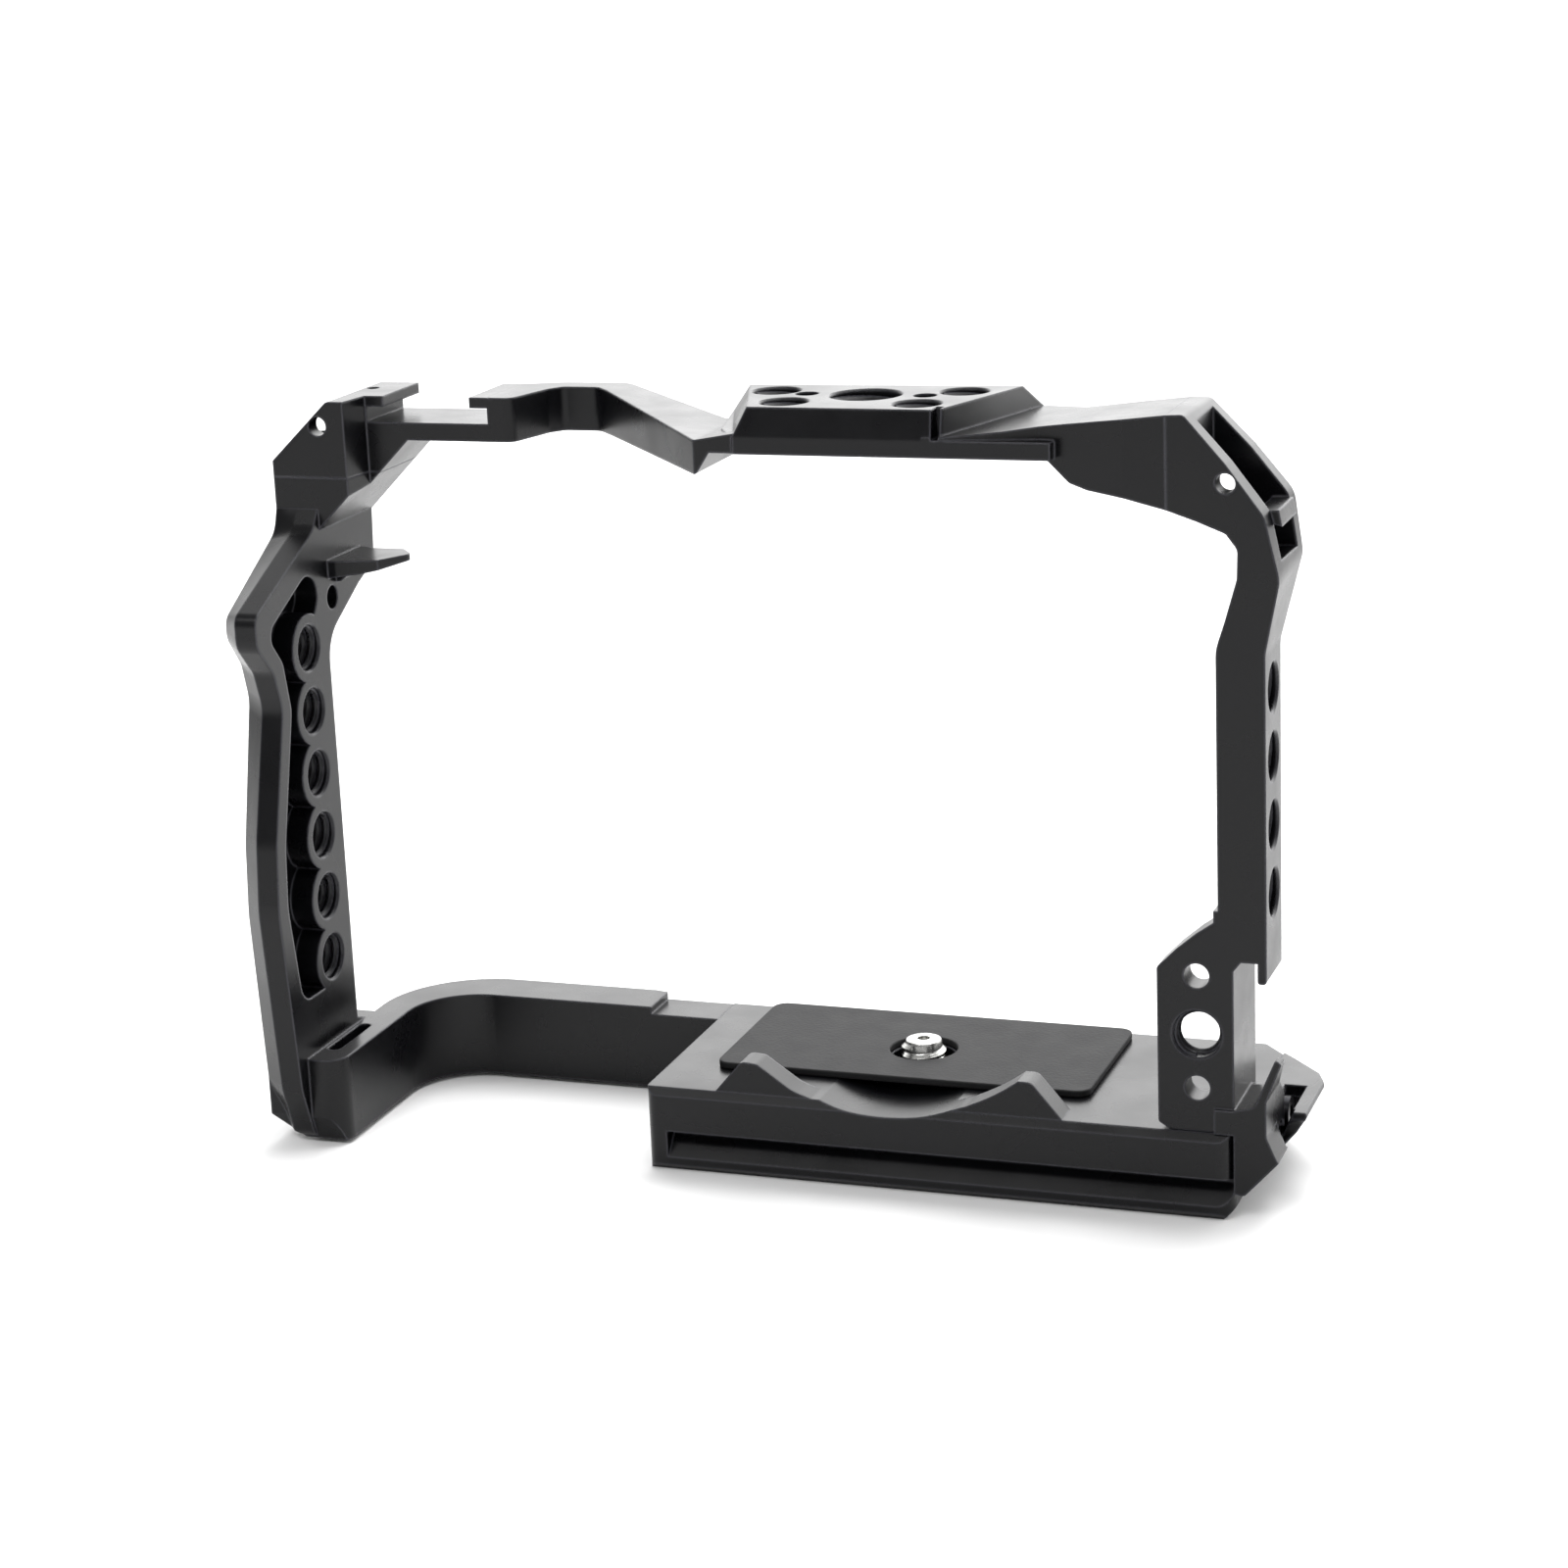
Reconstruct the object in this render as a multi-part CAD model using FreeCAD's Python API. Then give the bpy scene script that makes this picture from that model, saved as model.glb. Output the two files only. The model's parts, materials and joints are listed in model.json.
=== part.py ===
import FreeCAD, Part
import math, os

# Camera cage in millimetres. +X is the viewer's right from the lens side, -Y is the lens side, +Z is up.
# The origin lies on the underside of the base plate, straight below the camera screw.

os.makedirs("parts", exist_ok=True)
V = FreeCAD.Vector

# Fits
press_gap = 0.01
thread_gap = 0.02
running_gap = 0.06
screw_hole_gap = 0.15

# Standard threads and fasteners
quarter_inch_major_r = 3.175
quarter_inch_hole_r = 3.2
quarter_inch_mouth_r = 3.45
three_eighths_hole_r = 4.76
three_eighths_mouth_r = 5.0
joint_screw_r = 1.25
joint_screw_head_r = 2.25
joint_screw_head_h = 2.5
joint_screw_socket_r = 1.0
dowel_r = 1.5
dowel_len = 6.0

# Base plate
deck_z = 12.0
dovetail_width = 38.0
front_y = -21.6
rear_y = front_y + dovetail_width
base_left = -34.0
base_right = 49.0
base_corner_r = 2.4
front_chamfer = 1.1
groove_top_z = 5.8
groove_floor_z = 4.7
groove_depth = 2.7
lip_top_z = 2.0
groove_start_x = -31.0
underside_round = 0.9
rear_deck_y = 14.7
lens_lip_thick = 4.2
lens_lip_r = 31.5

# Camera screw
screw_neck_r = 2.45
screw_travel = 4.0
screw_head_r = 6.4
screw_head_h = 2.5
screw_head_z = 0.4
washer_thick = 0.6
screw_recess_r = 4.5
screw_recess_z = 9.5
counterbore_r = 7.2
screw_tip_z = 14.5
slot_w = 1.3
slot_depth = 1.2

# Base pad
pad_left = -27.0
pad_right = 27.0
pad_front = -12.0
pad_rear = 14.4
pad_thick = 1.0
pad_hole_r = 4.8

# Rail and sweep of the grip side arm
rail_front_y = 7.7
rail_bottom_z = 0.7
rail_top_z = 13.1
rail_step_x = -44.5
tongue_len = 17.0
tongue_top_z = 6.4
tongue_rear_y = 12.6

# Grip side upright
grip_inner_x = -84.5
grip_outer_x = -91.0
foot_inner_x = -79.4
grip_hole_y = -14.3
side_hole_pitch = 9.15
grip_hole_zs = [25.3 + side_hole_pitch * i for i in range(6)]
grip_pocket_depth = 3.6
grip_boss_r = 4.9
left_seam_z = 94.3
gusset_offset = 171.3
block_front_y = -8.5
block_right = -79.5
block_rear_y = 9.0
block_pocket_front_y = -6.0
block_pocket_rear_y = 4.6
block_pocket_right = -82.6
block_pocket_z = 96.4
left_screw_ys = (-3.3, 2.2)

# Top bar
bar_top_z = 105.1
bar_low_z = 98.9
shoe_left = -78.5
shoe_width = 18.6
shoe_gap = 13.3
shoe_slot_h = 2.2
shoe_lip_h = 1.5
shoe_web = 1.3
shoe_front_y = -3.0
plateau_z = 107.5
plateau_low_z = 103.6
skirt_z = 101.3
plateau_x = -2.1
plateau_hole_y = -9.5
plateau_hole_pts = ((-15.3, -7.4), (10.4, -5.8), (-11.3, -15.9), (6.9, -15.7))
plateau_pin_pitch = 8.2
right_seam_x = 40.8
right_screw_grip = 2.0
right_screw_pts = ((-15.0, 101.5), (-11.0, 98.7))
cage_front_y = -20.4

# Port side upright
port_inner_x = 47.0
port_outer_x = 53.4
port_rear_y = -10.9
port_hole_y = -15.5
port_hole_zs = [44.2 + side_hole_pitch * i for i in range(4)]
port_bottom_z = 35.8
port_lip_z = 33.0
corner_rear_y = -6.0
corner_front_wall = 3.0
corner_rear_wall = 2.4
plate_left = 38.8
plate_thick = 4.0
plate_hole_x = 44.1
plate_hole_z = 25.5
plate_pin_zs = (18.1, 33.6)
foot_front_y = -21.0
foot_wall_rear_y = -9.5
foot_block_y = -0.4
foot_head_x = 50.4
foot_screw_ys = (-11.8, -2.2)
foot_screw_z = 8.8


def corner_edges(points, place):
    """Edges of a closed outline; a third number on a point rounds that corner by that radius."""
    count = len(points)
    starts = []
    ends = []
    mids = []
    for i in range(count):
        a = V(points[i - 1][0], points[i - 1][1], 0)
        b = V(points[i][0], points[i][1], 0)
        c = V(points[(i + 1) % count][0], points[(i + 1) % count][1], 0)
        r = points[i][2] if len(points[i]) > 2 else 0
        if r <= 0:
            starts.append(b)
            ends.append(b)
            mids.append(None)
            continue
        u = (a - b).normalize()
        w = (c - b).normalize()
        half = u.getAngle(w) / 2
        back = r / math.tan(half)
        middle = b + (u + w).normalize() * (r / math.sin(half))
        starts.append(b + u * back)
        ends.append(b + w * back)
        mids.append(middle + (b - middle).normalize() * r)
    edges = []
    for i in range(count):
        if mids[i] is not None:
            edges.append(Part.Arc(place(starts[i]), place(mids[i]), place(ends[i])).toShape())
        following = (i + 1) % count
        if ends[i].distanceToPoint(starts[following]) > 1e-6:
            edges.append(Part.makeLine(place(ends[i]), place(starts[following])))
    return edges


def face_xy(points, z):
    return Part.Face(Part.Wire(corner_edges(points, lambda p: V(p.x, p.y, z))))


def face_xz(points, y):
    return Part.Face(Part.Wire(corner_edges(points, lambda p: V(p.x, y, p.y))))


def face_yz(points, x):
    return Part.Face(Part.Wire(corner_edges(points, lambda p: V(x, p.x, p.y))))


def up_prism(points, low, high):
    return face_xy(points, low).extrude(V(0, 0, high - low))


def back_prism(points, front, back):
    return face_xz(points, front).extrude(V(0, back - front, 0))


def side_prism(points, left, right):
    return face_yz(points, left).extrude(V(right - left, 0, 0))


def box(x0, x1, y0, y1, z0, z1):
    return Part.makeBox(x1 - x0, y1 - y0, z1 - z0, V(x0, y0, z0))


def tapped_hole(r, mouth_r, start, direction, length):
    """A tapped hole with a cone at each mouth."""
    cone = mouth_r - r
    hole = Part.makeCylinder(r, length, start, direction)
    near = Part.makeCone(mouth_r, r, cone, start, direction)
    far = Part.makeCone(r, mouth_r, cone, start + direction * (length - cone), direction)
    return hole.fuse(near).fuse(far)


def cap_screw(start, direction, length):
    """A socket head screw; start is the underside of its head and direction points down the shank."""
    head = Part.makeCylinder(joint_screw_head_r, joint_screw_head_h, start - direction * joint_screw_head_h, direction)
    shank = Part.makeCylinder(joint_screw_r, length, start, direction)
    socket = Part.makeCylinder(joint_screw_socket_r, 1.4, start - direction * joint_screw_head_h, direction)
    return head.fuse(shank).cut(socket)


def screw_space(start, direction, grip, length):
    """The room a cap screw needs: counterbore, clearance through the near piece and tapped hole beyond."""
    head_r = joint_screw_head_r + screw_hole_gap
    head = Part.makeCylinder(head_r, joint_screw_head_h + 8, start - direction * (joint_screw_head_h + 8), direction)
    near = Part.makeCylinder(joint_screw_r + screw_hole_gap, grip, start, direction)
    far = Part.makeCylinder(joint_screw_r + thread_gap, length - grip + 0.6, start + direction * grip, direction)
    return head.fuse(near).fuse(far)


def dowel(middle, direction):
    return Part.makeCylinder(dowel_r, dowel_len, middle - direction * (dowel_len / 2), direction)


def dowel_space(middle, direction):
    length = dowel_len + 0.4
    return Part.makeCylinder(dowel_r + press_gap, length, middle - direction * (length / 2), direction)


def cut_all(shape, tools):
    for tool in tools:
        shape = shape.cut(tool)
    return shape


def fuse_all(shapes):
    whole = shapes[0]
    for piece in shapes[1:]:
        whole = whole.fuse(piece)
    return whole.removeSplitter()


def rail_screws():
    """Two screws that hold the grip side arm's tongue up into the base plate."""
    z = rail_bottom_z + joint_screw_head_h + 0.2
    y = (rail_front_y + tongue_rear_y) / 2 + 0.2
    xs = (base_left + 4.6, base_left + tongue_len - 4.2)
    return [(V(x, y, z), V(0, 0, 1), tongue_top_z - z, 6.2) for x in xs]


def rail_dowels():
    x = base_left + tongue_len / 2
    y = (rail_front_y + tongue_rear_y) / 2 + 0.2
    return [(V(x, y, tongue_top_z), V(0, 0, 1))]


def foot_screws():
    """Two screws that hold the port side arm's foot to the right end of the base plate."""
    return [(V(foot_head_x, y, foot_screw_z), V(-1, 0, 0), foot_head_x - base_right, 11.0)
            for y in foot_screw_ys]


def foot_dowels():
    return [(V(base_right, sum(foot_screw_ys) / 2, foot_screw_z - 0.6), V(1, 0, 0))]


def left_seam_screws():
    """Two screws in the floor of the corner block's strap pocket, down into the grip side arm."""
    x = grip_outer_x + joint_screw_head_r + 1.1
    return [(V(x, y, block_pocket_z), V(0, 0, -1), block_pocket_z - left_seam_z, 8.0) for y in left_screw_ys]


def left_seam_dowels():
    return [(V(-86.5, (block_pocket_rear_y + block_rear_y) / 2, left_seam_z), V(0, 0, 1))]


def right_seam_screws():
    """Two screws from the strap pocket of the port side arm into the end of the top bar."""
    x = right_seam_x + right_screw_grip
    return [(V(x, y, z), V(-1, 0, 0), right_screw_grip, 8.0) for y, z in right_screw_pts]


def right_seam_dowels():
    return [(V(right_seam_x - 0.2, -9.6, 103.9), V(1, 0, 0))]


def screw_spaces(screws):
    return [screw_space(*screw) for screw in screws]


def dowel_spaces(dowels):
    return [dowel_space(*item) for item in dowels]


def groove(edge, side):
    """The dovetail groove along one long edge; side is -1 for the front and 1 for the rear."""
    floor = edge - side * groove_depth
    outside = edge + side * 4
    points = [(outside, groove_top_z), (edge, groove_top_z), (floor, groove_floor_z + 0.5),
              (floor, groove_floor_z), (edge, lip_top_z), (outside, lip_top_z)]
    return points


def lens_lip():
    """The raised front lip that is scooped out in an arc round the lens."""
    arc_z = 10.6 + lens_lip_r
    low = deck_z - 3.0
    points = [(-26.4, low), (-19.9, 16.6, 1.4), (-17.6, 16.4, 1.2), (-12.6, 12.9, 6.0), (-8.0, 11.4),
              (-8.0, low)]
    left = back_prism(points, cage_front_y - 0.2, cage_front_y - 0.2 + lens_lip_thick)
    points = [(8.0, low), (8.0, 11.4), (12.6, 12.9, 6.0), (19.0, 17.0, 1.2), (21.4, 17.0, 1.4), (28.2, low)]
    right = back_prism(points, cage_front_y - 0.2, cage_front_y - 0.2 + lens_lip_thick)
    middle = box(-8.0, 8.0, cage_front_y - 0.2, cage_front_y - 0.2 + lens_lip_thick, low, deck_z)
    scoop = Part.makeCylinder(lens_lip_r, 16, V(0.6, front_y - 2, arc_z), V(0, 1, 0))
    return fuse_all([left, middle, right]), scoop


def base_plate():
    plan = [(base_left, front_y, 1.6), (base_right, front_y, base_corner_r), (base_right, 11.2), (44.6, rear_y, 2.0),
            (base_left, rear_y)]
    body = up_prism(plan, 0, deck_z)
    low_corner = back_prism([(base_right + 1, -1), (base_right + 1, 1.4), (base_right, 1.4), (base_right - 1.4, 0),
                             (base_right - 1.4, -1)], front_y - 1, rear_y + 1)
    body = body.cut(low_corner)
    wedge = side_prism([(front_y - 1, deck_z + 1), (front_y - 1, deck_z - front_chamfer - 1),
                        (cage_front_y + 0.7, deck_z + 1)], base_left - 1, base_right + 1)
    rear_wedge = side_prism([(rear_y + 1, deck_z + 1), (rear_deck_y - 0.6, deck_z + 1),
                             (rear_y + 1, deck_z - 2.9)], base_left - 1, base_right + 1)
    body = body.cut(wedge).cut(rear_wedge)
    lip, scoop = lens_lip()
    body = body.fuse(lip)
    body = body.cut(scoop)
    body = body.cut(side_prism(groove(front_y, -1), groove_start_x, base_right + 2))
    body = body.cut(side_prism(groove(rear_y, 1), base_left - 2, base_right + 2))
    round_cut = side_prism([(front_y - 1, -1), (front_y + underside_round, -1), (front_y + underside_round, 0),
                            (front_y, underside_round), (front_y - 1, underside_round)], base_left - 1, base_right + 1)
    body = body.cut(round_cut)
    tongue = box(base_left - 1, base_left + tongue_len + 0.2, rail_front_y - 0.02, tongue_rear_y + 0.02,
                 -1, tongue_top_z)
    body = body.cut(tongue)
    recess = Part.makeCylinder(screw_recess_r, 10, V(0, 0, screw_recess_z))
    web_hole = Part.makeCylinder(screw_neck_r + running_gap, deck_z, V(0, 0, 0))
    head_top = screw_head_z + screw_head_h + washer_thick + screw_travel
    counterbore = Part.makeCylinder(counterbore_r, head_top + 1, V(0, 0, -1))
    body = cut_all(body, [recess, web_hole, counterbore])
    body = cut_all(body, screw_spaces(rail_screws()) + dowel_spaces(rail_dowels()))
    body = cut_all(body, screw_spaces(foot_screws()) + dowel_spaces(foot_dowels()))
    return body.removeSplitter()


def grip_front_profile():
    """Outline of the upright seen from the side, as (y, z), at its inner face."""
    return [(-3.0, rail_bottom_z), (-23.8, rail_bottom_z, 2.5), (-26.8, 9.0, 8.0), (-29.4, 36.0, 14.0),
            (-28.4, 46.0, 10.0), (-23.4, 64.5, 5.0), (-25.2, 69.8, 3.0), (-29.4, 74.4, 3.0), (-29.4, 78.6, 2.0),
            (-10.6, 87.0, 4.0), (block_front_y, 89.8), (block_front_y, left_seam_z), (block_rear_y, left_seam_z),
            (8.6, 88.0, 4.0), (8.0, 79.0, 1.5), (2.6, 76.9, 3.0), (-8.2, 71.0, 6.0), (-8.2, 14.0),
            (-3.0, rail_top_z - 1.0)]


def grip_outer_profile():
    """The same outline at the outer face, with the front edge set back."""
    return [(-3.0, rail_bottom_z), (-20.4, rail_bottom_z, 3.5), (-24.5, 8.6, 8.0), (-26.4, 35.0, 14.0),
            (-25.6, 45.0, 10.0), (-21.0, 65.0, 5.0), (-22.5, 70.4, 3.0), (-25.9, 74.8, 3.0), (-25.9, 77.6, 2.0),
            (-9.6, 86.6, 4.0), (block_front_y, 89.8), (block_front_y, left_seam_z), (block_rear_y, left_seam_z),
            (8.6, 88.0, 4.0), (8.0, 79.0, 1.5), (2.6, 76.9, 3.0), (-8.2, 71.0, 6.0), (-8.2, 14.0),
            (-3.0, rail_top_z - 1.0)]


def grip_pocket():
    """The pocket in the front half of the upright's inner face, scalloped round the threaded holes."""
    points = [(-24.3, 21.5, 3.0), (-26.6, 36.0, 12.0), (-25.9, 45.0, 10.0), (-20.9, 63.6, 5.0), (-22.4, 70.8, 3.0),
              (-26.4, 75.6, 2.0), (-14.0, 81.4, 3.0), (-8.6, 79.6, 3.0), (-12.0, 75.2), (-14.6, 62.0),
              (-14.6, 21.5, 3.0)]
    pocket = side_prism(points, grip_inner_x - grip_pocket_depth, grip_inner_x + 1)
    for z in grip_hole_zs:
        boss = Part.makeCylinder(grip_boss_r, 12, V(grip_outer_x - 2, grip_hole_y, z), V(1, 0, 0))
        pocket = pocket.cut(boss)
    return pocket


def grip_side_arm():
    """Rail, sweep, foot and upright on the side of the camera's grip."""
    plan = [(base_left, rail_front_y), (-79.4, rail_front_y, 9.6), (foot_inner_x, -24.6, 3.0),
            (grip_outer_x, -24.6), (grip_outer_x, -3.0), (-84.3, -3.0), (-84.3, 15.2, 15.0), (rail_step_x - 2, 15.2),
            (rail_step_x, rear_deck_y), (base_left, rear_deck_y)]
    sweep = up_prism(plan, rail_bottom_z, rail_top_z)
    step = box(rail_step_x, base_left + 1, rail_front_y - 1, 17, deck_z, rail_top_z + 1)
    sweep = sweep.cut(step)
    corner = back_prism([(grip_outer_x - 1, rail_bottom_z - 1), (grip_outer_x + 4.6, rail_bottom_z - 1),
                         (grip_outer_x + 4.6, rail_bottom_z), (grip_outer_x, rail_bottom_z + 3.6),
                         (grip_outer_x - 1, rail_bottom_z + 3.6)], -40, 30)
    front_slope = side_prism([(-40, rail_bottom_z - 1), (-23.2, rail_bottom_z - 1), (-23.2, rail_bottom_z),
                              (-25.2, 6.0), (-40, 9.0)], grip_outer_x - 2, -70)
    sweep = sweep.cut(corner).cut(front_slope)
    half = (grip_outer_x + grip_inner_x) / 2
    inner = side_prism(grip_front_profile(), half, grip_inner_x)
    wires = [face_yz(grip_front_profile(), half).OuterWire, face_yz(grip_outer_profile(), grip_outer_x).OuterWire]
    outer = Part.makeLoft(wires, True, True)
    upright = inner.fuse(outer).cut(corner)
    head = back_prism([(grip_outer_x, left_seam_z), (grip_outer_x, 86.0), (86.0 - gusset_offset, 86.0),
                       (left_seam_z - gusset_offset, left_seam_z)], block_front_y, block_rear_y)
    head = head.cut(front_trim())
    shelf = up_prism([(grip_inner_x - 1, -7.0), (-83.3, -6.9), (-77.3, -5.4), (-74.4, -0.3, 1.2), (-77.0, 2.8, 0.8),
                      (-81.7, 2.8), (grip_inner_x - 1, 4.2)], 79.0, 82.0)
    shelf = shelf.common(back_prism([(grip_inner_x - 1, 79.4), (-80.0, 80.0), (-74.0, 81.2), (-74.0, 82.0),
                                     (grip_inner_x - 1, 82.0)], -10, 10))
    root = back_prism([(grip_inner_x - 1, 78.4), (grip_inner_x + 0.8, 78.6), (-81.5, 80.4), (grip_inner_x - 1, 80.6)],
                      -4.5, 2.6)
    arm = fuse_all([sweep, upright, head, shelf, root])
    arm = arm.cut(grip_pocket())
    tongue = box(base_left - 0.5, base_left + tongue_len, rail_front_y, tongue_rear_y, rail_bottom_z, tongue_top_z)
    arm = arm.fuse(tongue).removeSplitter()
    width = grip_inner_x - grip_outer_x
    holes = [tapped_hole(quarter_inch_hole_r, quarter_inch_mouth_r, V(grip_outer_x, grip_hole_y, z), V(1, 0, 0), width)
             for z in grip_hole_zs]
    pin_hole = Part.makeCylinder(1.7, 12, V(grip_outer_x - 3, -6.0, 76.6), V(1, 0, 0))
    pin_relief = box(grip_outer_x - 1, grip_outer_x + 4.6, -8.0, 12.0, 73.8, 79.4)
    strap_slot = up_prism([(-83.9, -20.0, 1.0), (-81.9, -20.0, 1.0), (-81.9, -8.5, 1.0), (-83.9, -8.5, 1.0)], -2, 20)
    arm = cut_all(arm, holes + [pin_hole, pin_relief, strap_slot])
    arm = cut_all(arm, screw_spaces(rail_screws()) + dowel_spaces(rail_dowels()))
    arm = cut_all(arm, screw_spaces(left_seam_screws()) + dowel_spaces(left_seam_dowels()))
    return arm.removeSplitter()


def front_trim():
    """What is cut away right of the corner block, in front of the accessory shoe."""
    return up_prism([(block_right, block_front_y - 4), (-70, block_front_y - 4), (-70, shoe_front_y),
                     (block_right + 0.8, shoe_front_y), (block_right, block_front_y)], 85, 112)


def cold_shoe():
    """The accessory shoe at the left end of the top bar, and the room that its slot takes."""
    slot_right = shoe_left + shoe_width
    middle = (shoe_left + slot_right) / 2
    floor_z = bar_top_z - shoe_lip_h - shoe_slot_h
    body = back_prism([(block_right - 1, bar_low_z), (slot_right + shoe_web, bar_low_z, 0.8),
                       (slot_right + shoe_web, bar_top_z, 1.6), (block_right - 1, bar_top_z)],
                      shoe_front_y, block_rear_y)
    slot = box(shoe_left, slot_right, shoe_front_y - 12, block_rear_y + 4, floor_z, floor_z + shoe_slot_h)
    gap = box(middle - shoe_gap / 2, middle + shoe_gap / 2, shoe_front_y - 12, block_rear_y + 4,
              floor_z, bar_top_z + 6)
    return body, slot.fuse(gap)


def corner_block():
    """The block over the left seam, with its strap pocket and the 45 degree face towards the camera."""
    block = back_prism([(grip_outer_x, left_seam_z), (grip_outer_x, 96.6), (-82.0, bar_top_z, 1.0), (-72.4, bar_top_z),
                        (bar_low_z - gusset_offset, bar_low_z), (left_seam_z - gusset_offset, left_seam_z)],
                       block_front_y, block_rear_y)
    pocket = box(grip_outer_x - 1, block_pocket_right, block_pocket_front_y, block_pocket_rear_y, block_pocket_z, 112)
    return block.cut(front_trim()).cut(pocket)


def left_bar():
    """The bar from the accessory shoe to the centre plateau."""
    slot_right = shoe_left + shoe_width
    plan = up_prism([(slot_right, block_rear_y), (slot_right, shoe_front_y, 0.8), (-56.2, shoe_front_y, 1.5),
                     (-54.1, 5.1, 1.5), (-52.6, 7.3, 1.2), (-47.2, 7.3, 2.0), (-31.6, -10.3), (-22.7, cage_front_y),
                     (-13.0, cage_front_y), (-13.0, 0.0), (-23.8, -4.6), (-44.0, 11.5, 3.0), (-54.0, 11.0, 3.0)],
                    90, 112)
    side_view = back_prism([(slot_right, bar_low_z), (-43.8, bar_low_z), (-22.4, 98.4, 0.6), (-20.5, skirt_z),
                            (-13.0, skirt_z), (-13.0, 104.6), (-22.4, 103.0), (-45.0, bar_top_z, 4.0),
                            (slot_right, bar_top_z)], -30, 30)
    return plan.common(side_view)


def centre_plateau():
    """The raised platform with the top threads, its sides sloping outwards as they go down."""
    low = face_xy([(-16.9, foot_front_y), (11.0, foot_front_y), (20.2, 1.4), (-24.0, -0.8)], plateau_low_z)
    high = face_xy([(-14.9, cage_front_y), (11.0, cage_front_y), (17.0, -0.9), (-20.7, -2.9)], plateau_z)
    cap = Part.makeLoft([low.OuterWire, high.OuterWire], True, True)
    skirt = up_prism([(-16.9, foot_front_y), (26.0, foot_front_y), (26.0, corner_rear_y), (20.2, 1.4),
                      (-24.0, -0.8), (-20.6, foot_front_y + 6)], skirt_z, plateau_low_z)
    return cap, skirt


def right_bar():
    """The bar from the plateau to the right seam, humped where it meets the skirt."""
    view = back_prism([(9.0, skirt_z), (19.4, skirt_z), (22.2, 102.1, 0.8), (24.8, 101.2, 0.8), (28.0, 98.2, 1.5),
                       (30.4, 97.4), (35.3, 96.6), (right_seam_x, 95.2), (right_seam_x, 107.3), (35.4, 106.7),
                       (27.7, 105.8), (19.3, 104.7), (11.0, 104.0), (9.0, 104.0)], -30, 10)
    plan = up_prism([(9.0, foot_front_y), (11.0, foot_front_y), (24.0, cage_front_y + 1.6), (35.4, cage_front_y),
                     (right_seam_x, cage_front_y), (right_seam_x, corner_rear_y), (27.0, corner_rear_y),
                     (20.0, 0.0), (9.0, 0.0)], 90, 112)
    return view.common(plan)


def top_bar():
    """Corner block, accessory shoe, centre plateau and the bars between them, milled from one billet."""
    shoe, shoe_room = cold_shoe()
    cap, skirt = centre_plateau()
    bar = fuse_all([corner_block(), shoe, left_bar(), skirt, cap, right_bar()])
    bar = bar.cut(shoe_room)
    notch = box(10.2, 11.2, foot_front_y - 2, cage_front_y + 2.6, plateau_low_z, plateau_z + 1)
    depth = plateau_z - skirt_z
    holes = [tapped_hole(quarter_inch_hole_r, quarter_inch_mouth_r, V(x, y, skirt_z), V(0, 0, 1), depth)
             for x, y in plateau_hole_pts]
    holes.append(tapped_hole(three_eighths_hole_r, three_eighths_mouth_r, V(plateau_x, plateau_hole_y, skirt_z),
                             V(0, 0, 1), depth))
    holes += [Part.makeCylinder(1.6, 4.5, V(plateau_x + dx, plateau_hole_y, plateau_z - 4))
              for dx in (-plateau_pin_pitch, plateau_pin_pitch)]
    block_hole = Part.makeCylinder(1.35, block_pocket_front_y - block_front_y + 2,
                                   V(-83.6, block_front_y - 1, 101.6), V(0, 1, 0))
    lip_hole = Part.makeCylinder(0.9, 3.0, V(-80.5, 3.7, bar_top_z - 2.5))
    bar = cut_all(bar, [notch, block_hole, lip_hole] + holes)
    bar = cut_all(bar, screw_spaces(left_seam_screws()) + dowel_spaces(left_seam_dowels()))
    bar = cut_all(bar, screw_spaces(right_seam_screws()) + dowel_spaces(right_seam_dowels()))
    return bar.removeSplitter()


def port_outline(shoulder, elbow, hip, low_hip):
    """Outline of the strap corner and upright as (x, z); its four outer corners are given."""
    return [(right_seam_x, 107.3), shoulder, elbow, hip, low_hip, (port_outer_x, 77.0, 4.0),
            (port_outer_x, port_lip_z, 0.5), (52.2, port_lip_z, 0.4), (52.2, port_bottom_z), (port_inner_x, port_bottom_z),
            (port_inner_x, 77.4, 6.0), (48.2, 81.1), (49.8, 86.6, 2.0), (49.9, 90.4, 1.5), (48.4, 92.4, 1.0),
            (44.6, 93.9), (right_seam_x, 95.2)]


def hole_plate():
    """The plate beside the upright with its thread between two pin holes, and the wall behind it."""
    plate = back_prism([(plate_left, 13.0, 0.6), (plate_left, 34.5, 0.8), (41.5, 37.2), (44.1, 39.4), (47.1, 41.5),
                        (50.0, 42.6), (50.0, port_bottom_z), (base_right, 34.5), (base_right, deck_z), (40.4, deck_z)],
                       cage_front_y, cage_front_y + plate_thick)
    wall = box(46.4, base_right, cage_front_y, -7.0, deck_z, 42.6)
    wall = wall.cut(side_prism([(-9.5, 43), (-6, 39), (-6, 43)], 40, 60))
    sill = box(46.4, port_outer_x, foot_front_y, foot_wall_rear_y, deck_z, 15.4)
    ledge = box(46.4, 50.6, foot_wall_rear_y - 1, -7.0, deck_z, 13.0)
    return fuse_all([plate, wall.fuse(sill).fuse(ledge)])


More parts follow.
